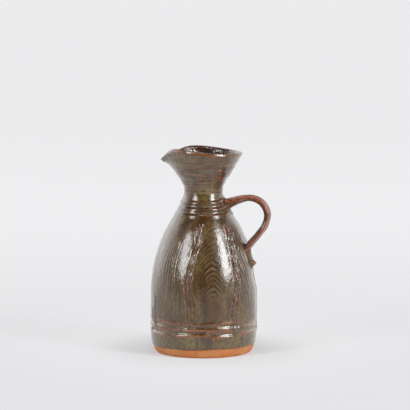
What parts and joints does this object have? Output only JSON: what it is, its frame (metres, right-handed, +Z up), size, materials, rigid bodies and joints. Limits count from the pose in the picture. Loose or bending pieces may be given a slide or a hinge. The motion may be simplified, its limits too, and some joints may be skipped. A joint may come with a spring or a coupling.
{
  "type": "stoneware jug",
  "caption": "Thrown stoneware jug with a ringed neck, funnel mouth, pulled spout and strap handle, glazed inside and out above a bare foot, for holding and pouring drinks.",
  "frame": {"origin": "middle of the flat underside, on the axis of the wheel", "axes": "+Z up along the axis of the wheel, +X towards the handle, -X towards the spout"},
  "size_m": [0.1228, 0.1066, 0.2052],
  "materials": {
    "bare_stoneware": "bare fired stoneware, sandy and matt, toasted orange",
    "handle_clay": "bare fired stoneware under the handle's glaze",
    "coil_glaze": "gloss iron glaze, brown with rust red edges",
    "olive_glaze": "gloss iron glaze, olive to brown, rust red where it is thin",
    "dark_glaze": "gloss iron glaze, dark brown",
    "rust_glaze": "gloss iron glaze, rust red and brown"
  },
  "bodies": {
    "root": {"stoneware_body": "bare_stoneware", "pulled_handle": "handle_clay", "root_coil": "coil_glaze", "outer_glaze": "olive_glaze", "liner_glaze": "dark_glaze", "handle_glaze": "rust_glaze"}
  },
  "joints": []
}
